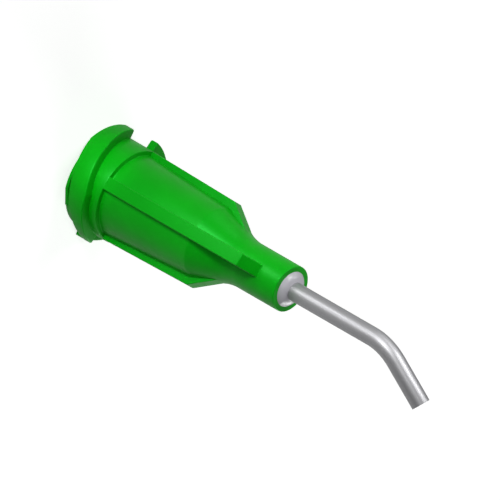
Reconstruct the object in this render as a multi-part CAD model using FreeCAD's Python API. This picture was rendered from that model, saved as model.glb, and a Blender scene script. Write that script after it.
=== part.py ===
import FreeCAD, Part
import math
import os

# Dispensing needle tip: a moulded luer lock hub, a bent steel tube and the ring of adhesive that holds it.
# Millimetres. The origin is the centre of the socket's mouth, +Z runs along the hub to its nose,
# and the tube bends toward +X. The tip stands on the rim of its mouth.

# Hub, outside
hub_length = 17.25
collar_radius = 3.27
collar_height = 2.75
body_base_radius = 2.93
body_top_radius = 2.60
body_top_height = 10.17
shoulder_angle = 19.8
shoulder_blend_radius = 3.3
nose_radius = 1.61
mouth_edge_radius = 0.06
nose_edge_radius = 0.06

# Hub, inside: the socket has the 6 percent taper that all luer fittings share
socket_mouth_radius = 2.15
luer_taper = 0.06
socket_depth = 9.0
mouth_lead_in = 0.15
funnel_half_angle = 32.0
tube_seat_height = 12.0
well_radius = 1.235
well_depth = 2.0

# Lock lugs: turns of a coarse right-hand thread, cut off level at the mouth and above.
# A low land joins each lug to the rim where the lug's back flank starts to rise.
lug_count = 2
lug_radius = 3.915
lug_lead = 5.0
lug_thickness = 1.45
lug_span = 165.2
lug_start_direction = 143.3
lug_end_rise = 1.55
lug_top_height = 2.13
lug_edge_radius = 0.10
land_radius = 3.42
land_height = 0.22
land_start_angle = 53.3
land_span = 56.4
land_fade_radius = 3.30
land_fade_span = 22.0

# Grip ribs: a short pair that ends on the shoulder and a long pair that ends on the nose
rib_width = 0.90
rib_draft = 1.1
rib_edge_radius = 0.06
short_rib_direction = 135.0
short_rib_height = 10.26
short_rib_end_angle = 33.5
long_rib_direction = 45.0
long_rib_height = 14.70
long_rib_end_angle = 60.0

# Needle tube: 18 gauge, half an inch of it showing beyond the adhesive
tube_radius = 0.635
tube_bore_radius = 0.42
tube_fit_clearance = 0.01
tube_straight_past_nose = 7.42
bend_radius = 3.10
bend_angle = 45.0
tube_tip_length = 3.21

# Adhesive: fills the well and climbs the tube in a soft dome
bead_climb = 0.36
bead_bulge = 0.07

# How far a body that is fused or cut runs past the face that it crosses
overrun = 0.3

origin = FreeCAD.Vector(0, 0, 0)
up = FreeCAD.Vector(0, 0, 1)
across = FreeCAD.Vector(0, 1, 0)


def point(radius, height):
    """A point of a section, in the XZ plane."""
    return FreeCAD.Vector(radius, 0, height)


def section(corners):
    """A flat face from corners in order, each with the radius that rounds it, or 0."""
    count = len(corners)
    stretches = []
    for i, (corner, radius) in enumerate(corners):
        to_last = (corners[i - 1][0] - corner).normalize()
        to_next = (corners[(i + 1) % count][0] - corner).normalize()
        half = to_last.getAngle(to_next) / 2
        trim = radius / math.tan(half)
        middle = (to_last + to_next).normalize() * (radius / math.sin(half) - radius)
        stretches.append((corner + to_last * trim, corner + middle, corner + to_next * trim, radius))
    edges = []
    for i, (start, middle, end, radius) in enumerate(stretches):
        if radius > 0:
            edges.append(Part.Arc(start, middle, end).toShape())
        next_start = stretches[(i + 1) % count][0]
        edges.append(Part.LineSegment(end, next_start).toShape())
    return Part.Face(Part.Wire(edges))


def turned(face):
    """A section turned round the hub's axis."""
    return face.revolve(origin, up, 360)


def facing(shape, direction):
    """A copy of a shape turned from +X to a direction in degrees."""
    return shape.rotated(origin, up, direction)


def hub_outside():
    """Collar, tapered body, shoulder and nose, turned as one solid with no bore."""
    shoulder_run = (body_top_radius - nose_radius) / math.tan(math.radians(shoulder_angle))
    return turned(section([
        (point(0, 0), 0),
        (point(collar_radius, 0), mouth_edge_radius),
        (point(collar_radius, collar_height), 0),
        (point(body_base_radius, collar_height), 0),
        (point(body_top_radius, body_top_height), 0),
        (point(nose_radius, body_top_height + shoulder_run), shoulder_blend_radius),
        (point(nose_radius, hub_length), nose_edge_radius),
        (point(0, hub_length), 0),
    ]))


def socket_radius(height):
    return socket_mouth_radius - luer_taper / 2 * height


def hub_bore():
    """The luer socket, its funnel, the throat that the tube stops on, the tube's seat and the adhesive well."""
    funnel_mouth = socket_radius(socket_depth)
    funnel_rise = (funnel_mouth - tube_bore_radius) / math.tan(math.radians(funnel_half_angle))
    seat_radius = tube_radius + tube_fit_clearance
    well_floor = hub_length - well_depth
    lead_in_radius = socket_mouth_radius + mouth_lead_in
    return turned(section([
        (point(0, -overrun), 0),
        (point(lead_in_radius + overrun, -overrun), 0),
        (point(socket_radius(mouth_lead_in), mouth_lead_in), 0),
        (point(funnel_mouth, socket_depth), 0),
        (point(tube_bore_radius, socket_depth + funnel_rise), 0),
        (point(tube_bore_radius, tube_seat_height), 0),
        (point(seat_radius, tube_seat_height), 0),
        (point(seat_radius, well_floor), 0),
        (point(well_radius, well_floor), 0),
        (point(well_radius, hub_length + overrun), 0),
        (point(0, hub_length + overrun), 0),
    ]))


def lock_lug():
    """A helical band trimmed by the lug's outer radius, the mouth plane and the level top."""
    band_rise = lug_lead * lug_span / 360
    band_start = lug_end_rise - band_rise
    root = collar_radius - overrun / 2
    tip = lug_radius + overrun
    helix = Part.makeHelix(lug_lead, band_rise, lug_radius)
    band_section = Part.makePolygon([
        point(root, 0),
        point(tip, 0),
        point(tip, lug_thickness),
        point(root, lug_thickness),
        point(root, 0),
    ])
    band = Part.Wire(helix).makePipeShell([band_section], True, True)
    band.translate(up * band_start)
    lug = band.common(Part.makeCylinder(lug_radius, lug_top_height))
    rim = [e for e in lug.Edges if lies_on_radius(e, lug_radius) and highest(e) > 1e-6]
    return facing(lug.makeFillet(lug_edge_radius, rim), lug_start_direction)


def lies_on_radius(edge, radius):
    """True for an edge whose ends and middle are all that far from the hub's axis."""
    start, middle, end = edge.discretize(3)
    return all(abs(math.hypot(p.x, p.y) - radius) < 1e-4 for p in (start, middle, end))


def highest(edge):
    return max(v.Point.z for v in edge.Vertexes)


def on_circle(radius, direction):
    """A point on the mouth plane, at a direction in degrees."""
    turn = math.radians(direction)
    return FreeCAD.Vector(radius * math.cos(turn), radius * math.sin(turn), 0)


def rim_land():
    """The low land under a lug's rising back flank, which fades into the collar."""
    root = collar_radius - overrun / 2
    faded = land_span + land_fade_span
    start = on_circle(land_radius, 0)
    end = on_circle(land_radius, land_span)
    fade_end = on_circle(land_fade_radius, faded)
    root_end = on_circle(root, faded)
    root_start = on_circle(root, 0)
    outline = Part.Wire([
        Part.Arc(start, on_circle(land_radius, land_span / 2), end).toShape(),
        Part.LineSegment(end, fade_end).toShape(),
        Part.LineSegment(fade_end, root_end).toShape(),
        Part.Arc(root_end, on_circle(root, faded / 2), root_start).toShape(),
        Part.LineSegment(root_start, start).toShape(),
    ])
    land = Part.Face(outline).extrude(up * land_height)
    return facing(land, lug_start_direction + land_start_angle)


def grip_rib(height, end_angle, direction):
    """A flat-faced rib with draft along its crest and a sloping end, which starts on the collar."""
    base = math.sqrt(collar_radius ** 2 - (rib_width / 2) ** 2)
    crest_end = base - (height - collar_height) * math.tan(math.radians(rib_draft))
    root = (tube_radius + nose_radius) / 2
    slope_end = height + (crest_end - root) / math.tan(math.radians(end_angle))
    rib = section([
        (point(root, collar_height - overrun), 0),
        (point(base - overrun, collar_height - overrun), 0),
        (point(base, collar_height), 0),
        (point(crest_end, height), 0),
        (point(root, slope_end), 0),
    ]).extrude(across * rib_width)
    rib.translate(across * (-rib_width / 2))
    crest = [e for e in rib.Edges if runs_along(e) and lowest(e) > collar_height - 1e-6]
    return facing(rib.makeFillet(rib_edge_radius, crest), direction)


def runs_along(edge):
    """True for an edge in the rib's own plane, and false for one across its width."""
    start, end = [v.Point for v in edge.Vertexes]
    return abs(start.y - end.y) < 1e-6


def lowest(edge):
    return min(v.Point.z for v in edge.Vertexes)


def make_hub():
    hub = hub_outside()
    for i in range(lug_count):
        turn = 360 / lug_count * i
        hub = hub.fuse(facing(lock_lug(), turn)).fuse(facing(rim_land(), turn))
    ribs = [
        (short_rib_height, short_rib_end_angle, short_rib_direction),
        (long_rib_height, long_rib_end_angle, long_rib_direction),
    ]
    for height, end_angle, direction in ribs:
        hub = hub.fuse([grip_rib(height, end_angle, direction + side) for side in (0, 180)])
    return hub.cut(hub_bore()).removeSplitter()


def bent_rod(radius):
    """A round rod from the tube's seat, straight up, round the bend and on to the tip."""
    bend_height = hub_length + tube_straight_past_nose
    straight = Part.makeCylinder(radius, bend_height - tube_seat_height, point(0, tube_seat_height))
    disc = Part.Face(Part.Wire(Part.makeCircle(radius, point(0, bend_height))))
    bend = disc.revolve(point(bend_radius, bend_height), across, bend_angle)
    turn = math.radians(bend_angle)
    along = FreeCAD.Vector(math.sin(turn), 0, math.cos(turn))
    tip_start = point(bend_radius * (1 - math.cos(turn)), bend_height + bend_radius * math.sin(turn))
    tip = Part.makeCylinder(radius, tube_tip_length, tip_start, along)
    return straight.fuse([bend, tip]).removeSplitter()


def make_needle_tube():
    return bent_rod(tube_radius).cut(bent_rod(tube_bore_radius))


def make_adhesive_bead():
    """A ring that fills the well, with a domed top that climbs the tube."""
    well_floor = hub_length - well_depth
    rim = point(well_radius, hub_length)
    top = point(tube_radius, hub_length + bead_climb)
    outward = (rim - top).cross(across).normalize()
    if outward.z < 0:
        outward = outward * -1
    crown = (rim + top) * 0.5 + outward * bead_bulge
    inner = point(tube_radius, well_floor)
    outer = point(well_radius, well_floor)
    edges = [
        Part.LineSegment(inner, outer).toShape(),
        Part.LineSegment(outer, rim).toShape(),
        Part.Arc(rim, crown, top).toShape(),
        Part.LineSegment(top, inner).toShape(),
    ]
    return turned(Part.Face(Part.Wire(edges)))


os.makedirs("parts", exist_ok=True)
pieces = {
    "hub": make_hub(),
    "needle_tube": make_needle_tube(),
    "adhesive_bead": make_adhesive_bead(),
}
for name, shape in pieces.items():
    shape.exportStep("parts/" + name + ".step")
    print(name, "solids", len(shape.Solids), "valid", shape.isValid(), "volume", round(shape.Volume, 3))
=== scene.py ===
import bpy
import bmesh
import math
from mathutils import Matrix, Vector


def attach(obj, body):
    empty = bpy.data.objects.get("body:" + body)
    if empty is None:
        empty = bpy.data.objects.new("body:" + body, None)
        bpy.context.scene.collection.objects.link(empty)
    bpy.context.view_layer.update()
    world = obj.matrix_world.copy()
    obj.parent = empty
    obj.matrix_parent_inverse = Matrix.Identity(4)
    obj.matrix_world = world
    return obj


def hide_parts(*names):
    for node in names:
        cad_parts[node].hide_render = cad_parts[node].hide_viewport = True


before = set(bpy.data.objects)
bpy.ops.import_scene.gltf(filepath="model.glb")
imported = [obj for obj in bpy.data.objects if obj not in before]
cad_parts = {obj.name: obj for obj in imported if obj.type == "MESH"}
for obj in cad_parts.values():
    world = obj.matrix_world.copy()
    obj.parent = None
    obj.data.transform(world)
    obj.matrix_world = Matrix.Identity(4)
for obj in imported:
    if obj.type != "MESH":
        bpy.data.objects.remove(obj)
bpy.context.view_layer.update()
print("frame loaded:", ", ".join(sorted(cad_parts)))

# A dispensing needle tip that stands on the mouth of its hub with the bent tube up.
# +Z runs along the hub and the tube bends toward +X. Sizes are in metres, written as so many mm.
mm = 0.001
roundSides = 144         # sides of the hub's turned shapes
sweepStep = 2.5          # degrees between the sections of a swept lug
weld = 0.0005 * mm       # points closer than this are merged
snap = 0.002 * mm        # places closer than this count as the same
margin = 0.01 * mm       # how far past a limit an edge may lie and still count as on it


# edit mode helpers

def deselectAll():
    if bpy.context.mode != "OBJECT":
        bpy.ops.object.mode_set(mode="OBJECT")
    bpy.ops.object.select_all(action="DESELECT")


def startEditing(name):
    # takes the primitive that was just added and puts its place into its mesh
    piece = bpy.context.object
    piece.name = name
    piece.data.name = name
    bpy.ops.object.transform_apply(location=True, rotation=True, scale=True)
    bpy.ops.object.mode_set(mode="EDIT")
    bpy.ops.mesh.select_all(action="SELECT")
    return piece


def pick(piece, kind, rule):
    # selects the edges or faces that pass the rule, and nothing else
    bpy.ops.mesh.select_mode(type=kind)
    bpy.ops.mesh.select_all(action="DESELECT")
    mesh = bmesh.from_edit_mesh(piece.data)
    for part in mesh.edges if kind == "EDGE" else mesh.faces:
        if rule(part):
            part.select_set(True)
    bmesh.update_edit_mesh(piece.data)


def radiusOf(corner):
    return math.hypot(corner.co.x, corner.co.y)


def same(a, b):
    return abs(a - b) < snap


def onRing(part, radius, height):
    return all(same(radiusOf(v), radius) and same(v.co.z, height) for v in part.verts)


def turnAboutAxis(degrees):
    # the minus is there because rotate turns the other way when Blender has no window
    bpy.ops.transform.rotate(
        value=-math.radians(degrees), orient_axis="Z", center_override=(0, 0, 0))


def pullUp(rise):
    bpy.ops.mesh.extrude_region_move(TRANSFORM_OT_translate={"value": (0, 0, rise)})


def growRing(profile):
    # pulls the selected ring on from one (radius, height) to the next, as on a lathe
    radius, height = profile[0]
    for nextRadius, nextHeight in profile[1:]:
        pullUp(nextHeight - height)
        shrink = nextRadius / radius
        bpy.ops.transform.resize(value=(shrink, shrink, 1), center_override=(0, 0, nextHeight))
        radius, height = nextRadius, nextHeight


def turnSolid(name, profile):
    deselectAll()
    radius, height = profile[0]
    bpy.ops.mesh.primitive_circle_add(
        vertices=roundSides, radius=radius, fill_type="NGON", location=(0, 0, height))
    piece = startEditing(name)
    growRing(profile)
    bpy.ops.mesh.select_all(action="SELECT")
    bpy.ops.mesh.normals_make_consistent(inside=False)
    return piece


def roundRing(piece, radius, height, offset, segments):
    pick(piece, "EDGE", lambda edge: onRing(edge, radius, height))
    bpy.ops.mesh.bevel(offset=offset, segments=segments, affect="EDGES")


def join(piece, tool, operation):
    # a boolean with the tool, which is used up
    deselectAll()
    bpy.context.view_layer.objects.active = piece
    piece.select_set(True)
    cut = piece.modifiers.new("join", "BOOLEAN")
    cut.object = tool
    cut.operation = operation
    cut.solver = "EXACT"
    bpy.ops.object.modifier_apply(modifier=cut.name)
    bpy.data.objects.remove(tool)


def copyTurned(piece, name, degrees):
    # a copy with its own mesh, turned about the hub's axis
    deselectAll()
    bpy.context.view_layer.objects.active = piece
    piece.select_set(True)
    bpy.ops.object.duplicate()
    copy = startEditing(name)
    turnAboutAxis(degrees)
    deselectAll()
    return copy


def smoothShade(piece, degrees):
    deselectAll()
    bpy.context.view_layer.objects.active = piece
    piece.select_set(True)
    bpy.ops.object.shade_smooth_by_angle(angle=math.radians(degrees))


# hub

hubSizes = {
    "length": 17.25 * mm,
    "collarRadius": 3.27 * mm,
    "collarHeight": 2.75 * mm,
    "bodyBaseRadius": 2.93 * mm,
    "bodyTopRadius": 2.60 * mm,
    "bodyTopHeight": 10.17 * mm,
    "shoulderAngle": 19.8,            # degrees from the hub's axis
    "shoulderBlend": 3.3 * mm,
    "noseRadius": 1.61 * mm,
    "edgeRadius": 0.06 * mm,          # mouth and nose
    "collarEdge": 0.04 * mm,
    "cornerFillet": 0.09 * mm,        # at the foot and the head of the body
    "blendSegments": 8,
    "edgeSegments": 3,
    "collarEdgeSegments": 2,
    "smoothAngle": 28.0,
}

socketSizes = {
    "mouthRadius": 2.15 * mm,
    "taper": 0.06,                    # on the diameter, which all luer fittings share
    "depth": 9.0 * mm,
    "leadIn": 0.15 * mm,
    "funnelAngle": 32.0,              # degrees from the axis
    "throatRadius": 0.42 * mm,
    "seatHeight": 12.0 * mm,          # where the tube stops
    "seatRadius": 0.645 * mm,
    "wellRadius": 1.235 * mm,
    "wellDepth": 2.0 * mm,
    "overrun": 0.3 * mm,              # how far the core runs past the hub's ends
}

ribSizes = {
    "width": 0.90 * mm,
    "draft": 1.1,                     # degrees
    "edgeRadius": 0.06 * mm,
    "edgeSegments": 3,
    "root": 1.12 * mm,                # how far in it starts, inside the wall
    "overlap": 0.3 * mm,              # how far it stands into the collar
    "pairs": [                        # direction, height, end slope from the axis
        (135.0, 10.26 * mm, 33.5),
        (45.0, 14.70 * mm, 60.0),
    ],
}

lugSizes = {
    "radius": 3.915 * mm,
    "root": 3.12 * mm,                # how far in it starts, inside the collar
    "lead": 5.0 * mm,                 # rise of a full turn
    "thickness": 1.45 * mm,
    "span": 165.2,                    # degrees
    "startDirection": 143.3,
    "endRise": 1.55 * mm,
    "topHeight": 2.13 * mm,
    "edgeRadius": 0.10 * mm,
    "edgeSegments": 3,
    "sharpAngle": 30.0,               # rim edges sharper than this are rounded
    "landRadius": 3.42 * mm,
    "landHeight": 0.22 * mm,
    "landStart": 53.3,                # degrees on from the lug's start
    "landSpan": 56.4,
    "fadeRadius": 3.30 * mm,
    "fadeSpan": 22.0,
}


def makeHubOutside(hub):
    slope = math.radians(hub["shoulderAngle"])
    shoulderRun = (hub["bodyTopRadius"] - hub["noseRadius"]) / math.tan(slope)
    shoulderEnd = hub["bodyTopHeight"] + shoulderRun
    outside = turnSolid("hub_body", [
        (hub["collarRadius"], 0),
        (hub["collarRadius"], hub["collarHeight"]),
        (hub["bodyBaseRadius"], hub["collarHeight"]),
        (hub["bodyTopRadius"], hub["bodyTopHeight"]),
        (hub["noseRadius"], shoulderEnd),
        (hub["noseRadius"], hub["length"]),
    ])
    blend = hub["shoulderBlend"] * math.tan(slope / 2)
    fillet, edge = hub["cornerFillet"], hub["edgeRadius"]
    for radius, height, offset, segments in (
            (hub["noseRadius"], shoulderEnd, blend, hub["blendSegments"]),
            (hub["noseRadius"], hub["length"], edge, hub["edgeSegments"]),
            (hub["bodyTopRadius"], hub["bodyTopHeight"], fillet, hub["edgeSegments"]),
            (hub["bodyBaseRadius"], hub["collarHeight"], fillet, hub["edgeSegments"]),
            (hub["collarRadius"], hub["collarHeight"], hub["collarEdge"], hub["collarEdgeSegments"]),
            (hub["collarRadius"], 0, edge, hub["edgeSegments"])):
        roundRing(outside, radius, height, offset, segments)
    bpy.ops.object.mode_set(mode="OBJECT")
    return outside


def makeSocketCore(socket, hub):
    # the moulding core: what the socket, its funnel, the tube's seat and the well leave empty
    mouth, depth, over = socket["mouthRadius"], socket["depth"], socket["overrun"]
    lead, throat = socket["leadIn"], socket["throatRadius"]
    narrowing = socket["taper"] / 2
    funnelMouth = mouth - narrowing * depth
    funnelRise = (funnelMouth - throat) / math.tan(math.radians(socket["funnelAngle"]))
    wellFloor = hub["length"] - socket["wellDepth"]
    core = turnSolid("socket_core", [
        (mouth + lead + over, -over),
        (mouth - narrowing * lead, lead),
        (funnelMouth, depth),
        (throat, depth + funnelRise),
        (throat, socket["seatHeight"]),
        (socket["seatRadius"], socket["seatHeight"]),
        (socket["seatRadius"], wellFloor),
        (socket["wellRadius"], wellFloor),
        (socket["wellRadius"], hub["length"] + over),
    ])
    bpy.ops.object.mode_set(mode="OBJECT")
    return core


def makeRib(rib, hub, direction, height, endAngle):
    # a box through the wall, leaned in by the draft and finished with a sloping end
    half = rib["width"] / 2
    base = math.sqrt(hub["collarRadius"] ** 2 - half ** 2)
    crestEnd = base - (height - hub["collarHeight"]) * math.tan(math.radians(rib["draft"]))
    foot = hub["collarHeight"] - rib["overlap"]
    slopeRise = (crestEnd - rib["root"]) / math.tan(math.radians(endAngle))
    deselectAll()
    bpy.ops.mesh.primitive_cube_add(
        size=1,
        location=((rib["root"] + base) / 2, 0, (foot + height) / 2),
        scale=(base - rib["root"], rib["width"], height - foot))
    piece = startEditing("rib")
    bpy.ops.mesh.bisect(plane_co=(0, 0, hub["collarHeight"]), plane_no=(0, 0, 1))
    for x, z, shift in (
            (base, foot, (-rib["overlap"], 0, 0)),
            (base, height, (crestEnd - base, 0, 0)),
            (rib["root"], height, (0, 0, slopeRise))):
        pick(piece, "EDGE", lambda edge: all(
            same(v.co.x, x) and same(v.co.z, z) for v in edge.verts))
        bpy.ops.transform.translate(value=shift)

    def isCrest(edge):
        a, b = [v.co for v in edge.verts]
        above = min(a.z, b.z) > hub["collarHeight"] - margin
        outer = max(a.x, b.x) > crestEnd - margin
        level = same(a.z, hub["collarHeight"]) and same(b.z, hub["collarHeight"])
        return above and outer and not level

    pick(piece, "EDGE", isCrest)
    bpy.ops.mesh.bevel(offset=rib["edgeRadius"], segments=rib["edgeSegments"], affect="EDGES")
    bpy.ops.mesh.select_all(action="SELECT")
    bpy.ops.mesh.normals_make_consistent(inside=False)
    turnAboutAxis(direction)
    deselectAll()
    return piece


def sweepBand(name, inner, outer, low, high, span, rise):
    # an upright section that is extruded round the hub's axis, a little higher each step
    deselectAll()
    bpy.ops.mesh.primitive_plane_add(size=1, rotation=(math.radians(90), 0, 0))
    piece = startEditing(name)
    bpy.ops.transform.resize(value=(outer - inner, 1, high - low), center_override=(0, 0, 0))
    bpy.ops.transform.translate(value=((inner + outer) / 2, 0, (low + high) / 2))
    steps = round(span / sweepStep)
    for i in range(steps):
        pullUp(rise / steps)
        turnAboutAxis(span / steps)
    return piece


def flatten(piece, height, above):
    # what stands beyond a level is pressed flat onto it
    bpy.ops.mesh.select_mode(type="VERT")
    bpy.ops.mesh.select_all(action="DESELECT")
    mesh = bmesh.from_edit_mesh(piece.data)
    for corner in mesh.verts:
        if (corner.co.z > height) == above:
            corner.select_set(True)
    bmesh.update_edit_mesh(piece.data)
    bpy.ops.transform.resize(value=(1, 1, 0), center_override=(0, 0, height))


def makeLug(lug):
    # nearly half a turn of a coarse thread, cut off level at the mouth and at the top
    rise = lug["lead"] * lug["span"] / 360
    start = lug["endRise"] - rise
    piece = sweepBand(
        "lug", lug["root"], lug["radius"], start, start + lug["thickness"], lug["span"], rise)
    flatten(piece, lug["topHeight"], above=True)
    flatten(piece, 0, above=False)
    bpy.ops.mesh.select_all(action="SELECT")
    bpy.ops.mesh.normals_make_consistent(inside=False)

    def isRim(edge):
        onOutside = all(radiusOf(v) > lug["radius"] - margin for v in edge.verts)
        sharp = edge.calc_face_angle(0) > math.radians(lug["sharpAngle"])
        return onOutside and sharp and max(v.co.z for v in edge.verts) > margin

    pick(piece, "EDGE", isRim)
    bpy.ops.mesh.bevel(offset=lug["edgeRadius"], segments=lug["edgeSegments"], affect="EDGES")
    bpy.ops.mesh.select_all(action="SELECT")
    turnAboutAxis(lug["startDirection"])
    deselectAll()
    return piece


def makeRimLand(lug):
    # the low step at the mouth under a lug's rising flank, which fades into the collar
    piece = sweepBand(
        "rim_land", lug["root"], lug["landRadius"], 0, lug["landHeight"], lug["landSpan"], 0)
    pullUp(0)
    turnAboutAxis(lug["fadeSpan"])
    fade = math.radians(lug["landSpan"] + lug["fadeSpan"])
    outward = Vector((math.cos(fade), math.sin(fade), 0))
    pick(piece, "EDGE", lambda edge: all(
        same(radiusOf(v), lug["landRadius"]) and v.co.dot(outward) > lug["landRadius"] - snap
        for v in edge.verts))
    bpy.ops.transform.translate(value=outward * (lug["fadeRadius"] - lug["landRadius"]))
    bpy.ops.mesh.select_all(action="SELECT")
    bpy.ops.mesh.normals_make_consistent(inside=False)
    turnAboutAxis(lug["startDirection"] + lug["landStart"])
    deselectAll()
    return piece


def makeHub():
    piece = makeHubOutside(hubSizes)
    for make in (makeLug, makeRimLand):
        first = make(lugSizes)
        second = copyTurned(first, first.name + "_opposite", 180)
        join(piece, first, "UNION")
        join(piece, second, "UNION")
    for direction, height, endAngle in ribSizes["pairs"]:
        first = makeRib(ribSizes, hubSizes, direction, height, endAngle)
        second = copyTurned(first, "rib_opposite", 180)
        join(piece, first, "UNION")
        join(piece, second, "UNION")
    join(piece, makeSocketCore(socketSizes, hubSizes), "DIFFERENCE")
    piece.name = "moulded_hub"
    bpy.ops.object.mode_set(mode="EDIT")
    bpy.ops.mesh.select_all(action="SELECT")
    bpy.ops.mesh.remove_doubles(threshold=weld)
    bpy.ops.mesh.dissolve_degenerate(threshold=weld)
    bpy.ops.mesh.normals_make_consistent(inside=False)
    deselectAll()
    smoothShade(piece, hubSizes["smoothAngle"])
    even = piece.modifiers.new("even", "WEIGHTED_NORMAL")
    even.keep_sharp = True
    bpy.ops.object.modifier_apply(modifier=even.name)
    return piece


hubPiece = makeHub()
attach(hubPiece, "root")
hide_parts("hub")
print("hub modelled:", len(hubPiece.data.polygons), "faces")


# needle tube

tubeSizes = {
    "radius": 0.635 * mm,
    "wall": 0.215 * mm,
    "seatHeight": socketSizes["seatHeight"],
    "bendHeight": 24.67 * mm,
    "bendRadius": 3.10 * mm,
    "bendAngle": 45.0,
    "tipLength": 3.21 * mm,
    "rimEdge": 0.035 * mm,
    "rimSegments": 3,
    "rimAngle": 60.0,                 # edges sharper than this are rounded
    "sides": 72,
    "bendSteps": 30,
    "smoothAngle": 40.0,
}


def makeNeedleTube(tube):
    # a ring pulled up from its seat, spun round the bend and pulled on to the tip
    deselectAll()
    bpy.ops.mesh.primitive_circle_add(
        vertices=tube["sides"], radius=tube["radius"], location=(0, 0, tube["seatHeight"]))
    piece = startEditing("steel_tube")
    pullUp(tube["bendHeight"] - tube["seatHeight"])
    bend = math.radians(tube["bendAngle"])
    bpy.ops.mesh.spin(
        steps=tube["bendSteps"], angle=-bend,
        center=(tube["bendRadius"], 0, tube["bendHeight"]), axis=(0, 1, 0))
    along = Vector((math.sin(bend), 0, math.cos(bend)))
    bpy.ops.mesh.extrude_region_move(TRANSFORM_OT_translate={"value": along * tube["tipLength"]})
    bpy.ops.mesh.select_all(action="SELECT")
    bpy.ops.mesh.remove_doubles(threshold=weld)
    bpy.ops.mesh.normals_make_consistent(inside=False)
    bpy.ops.object.mode_set(mode="OBJECT")
    wall = piece.modifiers.new("wall", "SOLIDIFY")
    wall.thickness = tube["wall"]
    wall.offset = -1
    wall.use_even_offset = True
    bpy.ops.object.modifier_apply(modifier=wall.name)
    rims = piece.modifiers.new("rims", "BEVEL")
    rims.width = tube["rimEdge"]
    rims.segments = tube["rimSegments"]
    rims.limit_method = "ANGLE"
    rims.angle_limit = math.radians(tube["rimAngle"])
    bpy.ops.object.modifier_apply(modifier=rims.name)
    smoothShade(piece, tube["smoothAngle"])
    return piece


def markAlongTube(piece, tube):
    # keeps each point's place in the tube before it was bent, for the drawing lines
    bend = math.radians(tube["bendAngle"])
    along = Vector((math.sin(bend), 0, math.cos(bend)))
    across = Vector((math.cos(bend), 0, -math.sin(bend)))
    middle = Vector((tube["bendRadius"], 0, tube["bendHeight"]))
    bendEnd = middle - across * tube["bendRadius"]
    straightEnd = tube["bendHeight"] + tube["bendRadius"] * bend
    places = []
    for corner in piece.data.vertices:
        spot = corner.co
        turned = math.atan2(spot.z - middle.z, middle.x - spot.x)
        if turned <= 0:
            place = spot
        elif turned < bend:
            reach = math.hypot(spot.z - middle.z, middle.x - spot.x)
            drawnHeight = middle.z + tube["bendRadius"] * turned
            place = Vector((tube["bendRadius"] - reach, spot.y, drawnHeight))
        else:
            past = spot - bendEnd
            place = Vector((past.dot(across), spot.y, straightEnd + past.dot(along)))
        places.extend(place)
    drawn = piece.data.attributes.new("along_tube", "FLOAT_VECTOR", "POINT")
    drawn.data.foreach_set("vector", places)


tubePiece = makeNeedleTube(tubeSizes)
markAlongTube(tubePiece, tubeSizes)
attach(tubePiece, "root")
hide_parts("needle_tube")
print("tube modelled:", len(tubePiece.data.polygons), "faces")


# adhesive bead

beadSizes = {
    "wellRadius": socketSizes["wellRadius"],
    "wellFloor": hubSizes["length"] - socketSizes["wellDepth"],
    "rimHeight": hubSizes["length"],
    "climb": 0.36 * mm,               # up the tube, above the nose
    "bulge": 0.07 * mm,
    "holeRadius": tubeSizes["radius"],
    "domeRings": 10,
    "sides": 96,
    "smoothAngle": 40.0,
}


def makeBead(bead):
    # fills the well and climbs the tube in a soft dome
    rim = Vector((bead["wellRadius"], bead["rimHeight"]))
    top = Vector((bead["holeRadius"], bead["rimHeight"] + bead["climb"]))
    outward = Vector((top.y - rim.y, rim.x - top.x)).normalized()
    rings = [(bead["wellRadius"], bead["wellFloor"])]
    for i in range(bead["domeRings"] + 1):
        share = i / bead["domeRings"]
        spot = rim.lerp(top, share) + outward * bead["bulge"] * math.sin(math.pi * share)
        rings.append((spot.x, spot.y))
    rings.append((bead["holeRadius"], bead["wellFloor"]))
    rings.append((bead["wellRadius"], bead["wellFloor"]))
    deselectAll()
    bpy.ops.mesh.primitive_circle_add(
        vertices=bead["sides"], radius=bead["wellRadius"], location=(0, 0, bead["wellFloor"]))
    piece = startEditing("adhesive_fillet")
    growRing(rings)
    bpy.ops.mesh.select_all(action="SELECT")
    bpy.ops.mesh.remove_doubles(threshold=weld)
    bpy.ops.mesh.normals_make_consistent(inside=False)
    bpy.ops.object.mode_set(mode="OBJECT")
    smoothShade(piece, bead["smoothAngle"])
    return piece


beadPiece = makeBead(beadSizes)
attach(beadPiece, "root")
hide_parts("adhesive_bead")
print("bead modelled:", len(beadPiece.data.polygons), "faces")


# materials

noiseLow, noiseHigh = 0.3, 0.7        # nearly all of a noise texture lies between these


def linearColour(hexCode):
    # sRGB hex to the linear values that a shader takes
    channels = [int(hexCode[i:i + 2], 16) / 255 for i in (1, 3, 5)]
    return [c / 12.92 if c <= 0.04045 else ((c + 0.055) / 1.055) ** 2.4 for c in channels] + [1]


def addNode(tree, kind, settings, links=None):
    # settings name a socket or a property, and links join a socket to an output
    node = tree.nodes.new("ShaderNode" + kind)
    for name, value in settings.items():
        if isinstance(name, int) or name in node.inputs:
            node.inputs[name].default_value = value
        else:
            setattr(node, name, value)
    for name, output in (links or {}).items():
        tree.links.new(output, node.inputs[name])
    return node


def newMaterial(name):
    material = bpy.data.materials.new(name)
    material.use_nodes = True
    tree = material.node_tree
    tree.nodes.clear()
    return material, tree


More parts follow.
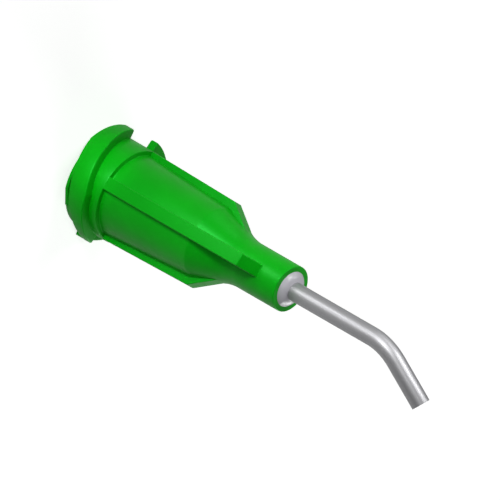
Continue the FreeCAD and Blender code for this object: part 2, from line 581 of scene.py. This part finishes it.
mouldedPolypropylene = {
    "colour": "#009A05",
    "palerColour": "#06AE0E",
    "roughness": (0.32, 0.40),
    "grain": 0.14 * mm,          # spark-eroded mould skin, drawn about four times too coarse
    "grainDepth": 0.004 * mm,
    "grainDetail": 2,
    "grainStrength": 0.5,
    "flowPatch": 2.5 * mm,       # where the pigment ran a little thicker
    "flowDetail": 3,
    "scatter": 0.12,
    "scatterSpread": (0.25, 1.0, 0.3),       # how far red, green and blue light get inside
    "scatterDepth": 0.5 * mm,
    "ior": 1.49,
    "gloss": 0.7,                # 0.5 is what the IOR alone gives
    "glossTint": (0.1, 1.0, 0.2, 1.0),       # the highlights stay green
    "cornerRadius": 0.035 * mm,  # what the mould rounds where ribs and wall meet
    "cornerSamples": 6,
}


def makePolypropylene(look):
    # injection-moulded polypropylene: waxy, slightly see-through, an even satin from the mould
    material, tree = newMaterial("injection_moulded_polypropylene")
    coords = addNode(tree, "TexCoord", {})
    place = coords.outputs["Object"]
    flow = addNode(
        tree, "TexNoise", {"Scale": 1 / look["flowPatch"], "Detail": look["flowDetail"]},
        {"Vector": place})
    grain = addNode(
        tree, "TexNoise", {"Scale": 1 / look["grain"], "Detail": look["grainDetail"]},
        {"Vector": place})
    colour = addNode(
        tree, "MixRGB",
        {"Color1": linearColour(look["colour"]), "Color2": linearColour(look["palerColour"])},
        {"Fac": flow.outputs["Fac"]})
    low, high = look["roughness"]
    rough = addNode(
        tree, "MapRange",
        {"From Min": noiseLow, "From Max": noiseHigh, "To Min": low, "To Max": high},
        {"Value": grain.outputs["Fac"]})
    soft = addNode(
        tree, "Bevel", {"samples": look["cornerSamples"], "Radius": look["cornerRadius"]})
    skin = addNode(
        tree, "Bump", {"Strength": look["grainStrength"], "Distance": look["grainDepth"]},
        {"Height": grain.outputs["Fac"], "Normal": soft.outputs["Normal"]})
    shader = addNode(
        tree, "BsdfPrincipled",
        {"IOR": look["ior"], "Subsurface Weight": look["scatter"],
         "Subsurface Radius": look["scatterSpread"], "Subsurface Scale": look["scatterDepth"],
         "Specular IOR Level": look["gloss"], "Specular Tint": look["glossTint"]},
        {"Base Color": colour.outputs["Color"], "Roughness": rough.outputs["Result"],
         "Normal": skin.outputs["Normal"]})
    addNode(tree, "OutputMaterial", {}, {"Surface": shader.outputs["BSDF"]})
    return material


drawnStainless = {
    "colour": "#BFBFC1",
    "darkerColour": "#ADADB0",
    "roughness": (0.42, 0.58),
    "lineWidth": 0.05 * mm,      # drawing lines, about three times as wide as real ones
    "lineLength": 4.0 * mm,
    "lineDepth": 0.0008 * mm,
    "lineDetail": 2,
    "lineStrength": 0.5,
}


def makeStainless(look):
    # stainless tube drawn through a die: grey satin with faint lines along it
    material, tree = newMaterial("drawn_stainless_steel")
    drawn = addNode(tree, "Attribute", {"attribute_name": "along_tube"})
    stretch = addNode(
        tree, "Mapping",
        {"Scale": (1 / look["lineWidth"], 1 / look["lineWidth"], 1 / look["lineLength"])},
        {"Vector": drawn.outputs["Vector"]})
    lines = addNode(
        tree, "TexNoise", {"Scale": 1, "Detail": look["lineDetail"]},
        {"Vector": stretch.outputs["Vector"]})
    low, high = look["roughness"]
    rough = addNode(
        tree, "MapRange",
        {"From Min": noiseLow, "From Max": noiseHigh, "To Min": low, "To Max": high},
        {"Value": lines.outputs["Fac"]})
    colour = addNode(
        tree, "MixRGB",
        {"Color1": linearColour(look["colour"]), "Color2": linearColour(look["darkerColour"])},
        {"Fac": lines.outputs["Fac"]})
    skin = addNode(
        tree, "Bump", {"Strength": look["lineStrength"], "Distance": look["lineDepth"]},
        {"Height": lines.outputs["Fac"]})
    shader = addNode(
        tree, "BsdfPrincipled", {"Metallic": 1.0},
        {"Base Color": colour.outputs["Color"], "Roughness": rough.outputs["Result"],
         "Normal": skin.outputs["Normal"]})
    addNode(tree, "OutputMaterial", {}, {"Surface": shader.outputs["BSDF"]})
    return material


curedEpoxy = {
    "colour": "#C3C2C9",
    "roughness": 0.25,
    "ripple": 0.6 * mm,
    "rippleDepth": 0.02 * mm,
    "rippleDetail": 1,
    "rippleStrength": 0.3,
    "scatter": 0.2,
    "scatterSpread": (1.0, 1.0, 1.0),        # the same for red, green and blue
    "scatterDepth": 0.2 * mm,
    "ior": 1.55,
}


def makeEpoxy(look):
    # dispensed epoxy, cured in place: milky grey with a slight violet, glossy and gently uneven
    material, tree = newMaterial("cured_epoxy")
    coords = addNode(tree, "TexCoord", {})
    ripple = addNode(
        tree, "TexNoise", {"Scale": 1 / look["ripple"], "Detail": look["rippleDetail"]},
        {"Vector": coords.outputs["Object"]})
    skin = addNode(
        tree, "Bump", {"Strength": look["rippleStrength"], "Distance": look["rippleDepth"]},
        {"Height": ripple.outputs["Fac"]})
    shader = addNode(
        tree, "BsdfPrincipled",
        {"Base Color": linearColour(look["colour"]), "IOR": look["ior"],
         "Roughness": look["roughness"], "Subsurface Weight": look["scatter"],
         "Subsurface Radius": look["scatterSpread"], "Subsurface Scale": look["scatterDepth"]},
        {"Normal": skin.outputs["Normal"]})
    addNode(tree, "OutputMaterial", {}, {"Surface": shader.outputs["BSDF"]})
    return material


for piece, material in (
        (hubPiece, makePolypropylene(mouldedPolypropylene)),
        (tubePiece, makeStainless(drawnStainless)),
        (beadPiece, makeEpoxy(curedEpoxy))):
    piece.data.materials.clear()
    piece.data.materials.append(material)
print("materials given")


# floor, world and lamps

studio = {
    "floorSize": 1.2,
    "floorColour": "#E6E6E6",
    "floorGlow": 0.72,           # what lifts the floor to white where the camera sees it
    "worldLight": 0.075,         # what the world gives the object, where the camera sees white
    "mirrorShare": 0.15,         # how much of that white a mirror surface sees
}


def seenDirectly(tree, mirrorShare):
    # 1 where the camera or clear plastic looks, less in a mirror surface, 0 for light that bounces
    path = addNode(tree, "LightPath", {})
    mirrored = addNode(
        tree, "Math", {"operation": "MULTIPLY", 1: mirrorShare}, {0: path.outputs["Is Glossy Ray"]})
    either = addNode(
        tree, "Math", {"operation": "MAXIMUM"},
        {0: path.outputs["Is Camera Ray"], 1: path.outputs["Is Transmission Ray"]})
    seen = addNode(
        tree, "Math", {"operation": "MAXIMUM"}, {0: either.outputs[0], 1: mirrored.outputs[0]})
    return seen.outputs[0]


def makeFloor(studio):
    deselectAll()
    bpy.ops.mesh.primitive_plane_add(size=studio["floorSize"])
    floor = bpy.context.object
    floor.name = "studio_floor"
    material, tree = newMaterial("matt_white_card")
    paper = addNode(tree, "BsdfDiffuse", {"Color": linearColour(studio["floorColour"])})
    glow = addNode(tree, "Emission", {"Strength": studio["floorGlow"]})
    black = addNode(tree, "Emission", {"Strength": 0.0})
    seen = seenDirectly(tree, studio["mirrorShare"])
    shown = addNode(tree, "MixShader", {}, {0: seen, 1: black.outputs[0], 2: glow.outputs[0]})
    both = addNode(tree, "AddShader", {}, {0: paper.outputs[0], 1: shown.outputs[0]})
    addNode(tree, "OutputMaterial", {}, {"Surface": both.outputs[0]})
    floor.data.materials.append(material)


def makeWorld(studio):
    world = bpy.data.worlds.new("studio_world")
    world.use_nodes = True
    tree = world.node_tree
    tree.nodes.clear()
    strength = addNode(
        tree, "MapRange", {"To Min": studio["worldLight"], "To Max": 1.0},
        {"Value": seenDirectly(tree, studio["mirrorShare"])})
    sky = addNode(
        tree, "Background", {"Color": (1, 1, 1, 1)}, {"Strength": strength.outputs["Result"]})
    addNode(tree, "OutputWorld", {}, {"Surface": sky.outputs[0]})
    bpy.context.scene.world = world


# softboxes: name, direction round the aim, degrees above the horizon, distance from the aim,
# width, height, spread and power
lampAim = Vector((0, 0, 12 * mm))     # the upper part of the hub
lamps = [
    ("key_softbox", 206.0, 5.0, 0.30, 0.065, 0.065, 180.0, 0.42),
    ("fill_softbox", 150.0, 6.0, 0.30, 0.14, 0.06, 180.0, 0.135),
    ("front_softbox", 226.0, 38.0, 0.34, 0.10, 0.10, 180.0, 0.115),
    ("back_softbox", 15.0, 16.0, 0.32, 0.20, 0.14, 180.0, 0.50),
    ("side_softbox", 104.0, 45.0, 0.32, 0.05, 0.05, 180.0, 0.09),
]

# a small one with a grid, close to the bent tip
tipLampAim = Vector((1.6 * mm, 0, 27.5 * mm))
tipLamps = [
    ("tip_softbox", 148.0, 38.0, 35 * mm, 16 * mm, 16 * mm, 60.0, 0.00085),
]

# a panel just above the card that shines up along the hub and the tube
panel = {
    "direction": 206.5,
    "distance": 35 * mm,
    "height": 1 * mm,
    "length": 34 * mm,
    "width": 12 * mm,
    "power": 0.0061,
}

# a spot that shines level over the card at the hub's mouth
mouthSpot = {
    "direction": 213.0,
    "distance": 60 * mm,
    "height": 1.2 * mm,
    "cone": 6.5,                 # degrees
    "edgeSoftness": 1.0,
    "bulbRadius": 1 * mm,
    "power": 0.058,
}


def outFromAxis(direction, distance, height):
    turn = math.radians(direction)
    return Vector((math.cos(turn) * distance, math.sin(turn) * distance, height))


def makeLamps(lamps, aim):
    for name, direction, height, distance, width, tall, spread, power in lamps:
        lift = math.radians(height)
        away = outFromAxis(direction, math.cos(lift), math.sin(lift))
        deselectAll()
        bpy.ops.object.light_add(
            type="AREA", location=aim + away * distance,
            rotation=away.to_track_quat("Z", "Y").to_euler())
        lamp = bpy.context.object
        lamp.name = name
        lamp.data.shape = "RECTANGLE"
        lamp.data.size = width
        lamp.data.size_y = tall
        lamp.data.spread = math.radians(spread)
        lamp.data.energy = power
        lamp.visible_camera = False


def makePanel(panel):
    # turned over, so that it shines up
    deselectAll()
    bpy.ops.object.light_add(
        type="AREA", location=outFromAxis(panel["direction"], panel["distance"], panel["height"]),
        rotation=(0, math.radians(180), math.radians(panel["direction"])))
    lamp = bpy.context.object
    lamp.name = "card_panel"
    lamp.data.shape = "RECTANGLE"
    lamp.data.size = panel["length"]
    lamp.data.size_y = panel["width"]
    lamp.data.energy = panel["power"]
    lamp.visible_camera = False


def makeMouthSpot(spot):
    # laid level, so that it shines at the hub's axis
    deselectAll()
    bpy.ops.object.light_add(
        type="SPOT", location=outFromAxis(spot["direction"], spot["distance"], spot["height"]),
        rotation=(0, math.radians(90), math.radians(spot["direction"])))
    lamp = bpy.context.object
    lamp.name = "mouth_spot"
    lamp.data.spot_size = math.radians(spot["cone"])
    lamp.data.spot_blend = spot["edgeSoftness"]
    lamp.data.shadow_soft_size = spot["bulbRadius"]
    lamp.data.energy = spot["power"]
    lamp.visible_camera = False


makePanel(panel)
makeMouthSpot(mouthSpot)
makeFloor(studio)
makeWorld(studio)
makeLamps(lamps, lampAim)
makeLamps(tipLamps, tipLampAim)
print("studio lit")


# camera, as the photograph was taken

photoView = {
    "toCamera": (-1, -1, 1),          # isometric, from above and behind the bend
    "rightInFrame": (0, 1, 1),
    "frameSize": 500,                 # pixels
    "mouthPixel": (101.2, 179.9),     # where the centre of the hub's mouth is
    "pixelsPerMm": 15.53,
    "distance": 0.25,
    "nearest": 0.01,                  # what the camera sees lies between these distances
    "farthest": 5.0,
}


def makeCamera(view):
    back = Vector(view["toCamera"]).normalized()
    right = Vector(view["rightInFrame"]).normalized()
    up = back.cross(right)
    pixel = mm / view["pixelsPerMm"]
    middle = view["frameSize"] / 2
    x, y = view["mouthPixel"]
    centre = right * (middle - x) * pixel + up * (y - middle) * pixel
    turn = Matrix((right, up, back)).transposed()
    deselectAll()
    bpy.ops.object.camera_add(location=centre + back * view["distance"], rotation=turn.to_euler())
    camera = bpy.context.object
    camera.data.type = "ORTHO"
    camera.data.ortho_scale = view["frameSize"] * pixel
    camera.data.clip_start = view["nearest"]
    camera.data.clip_end = view["farthest"]
    bpy.context.scene.camera = camera


makeCamera(photoView)
bpy.context.scene.view_settings.view_transform = "Standard"
deselectAll()
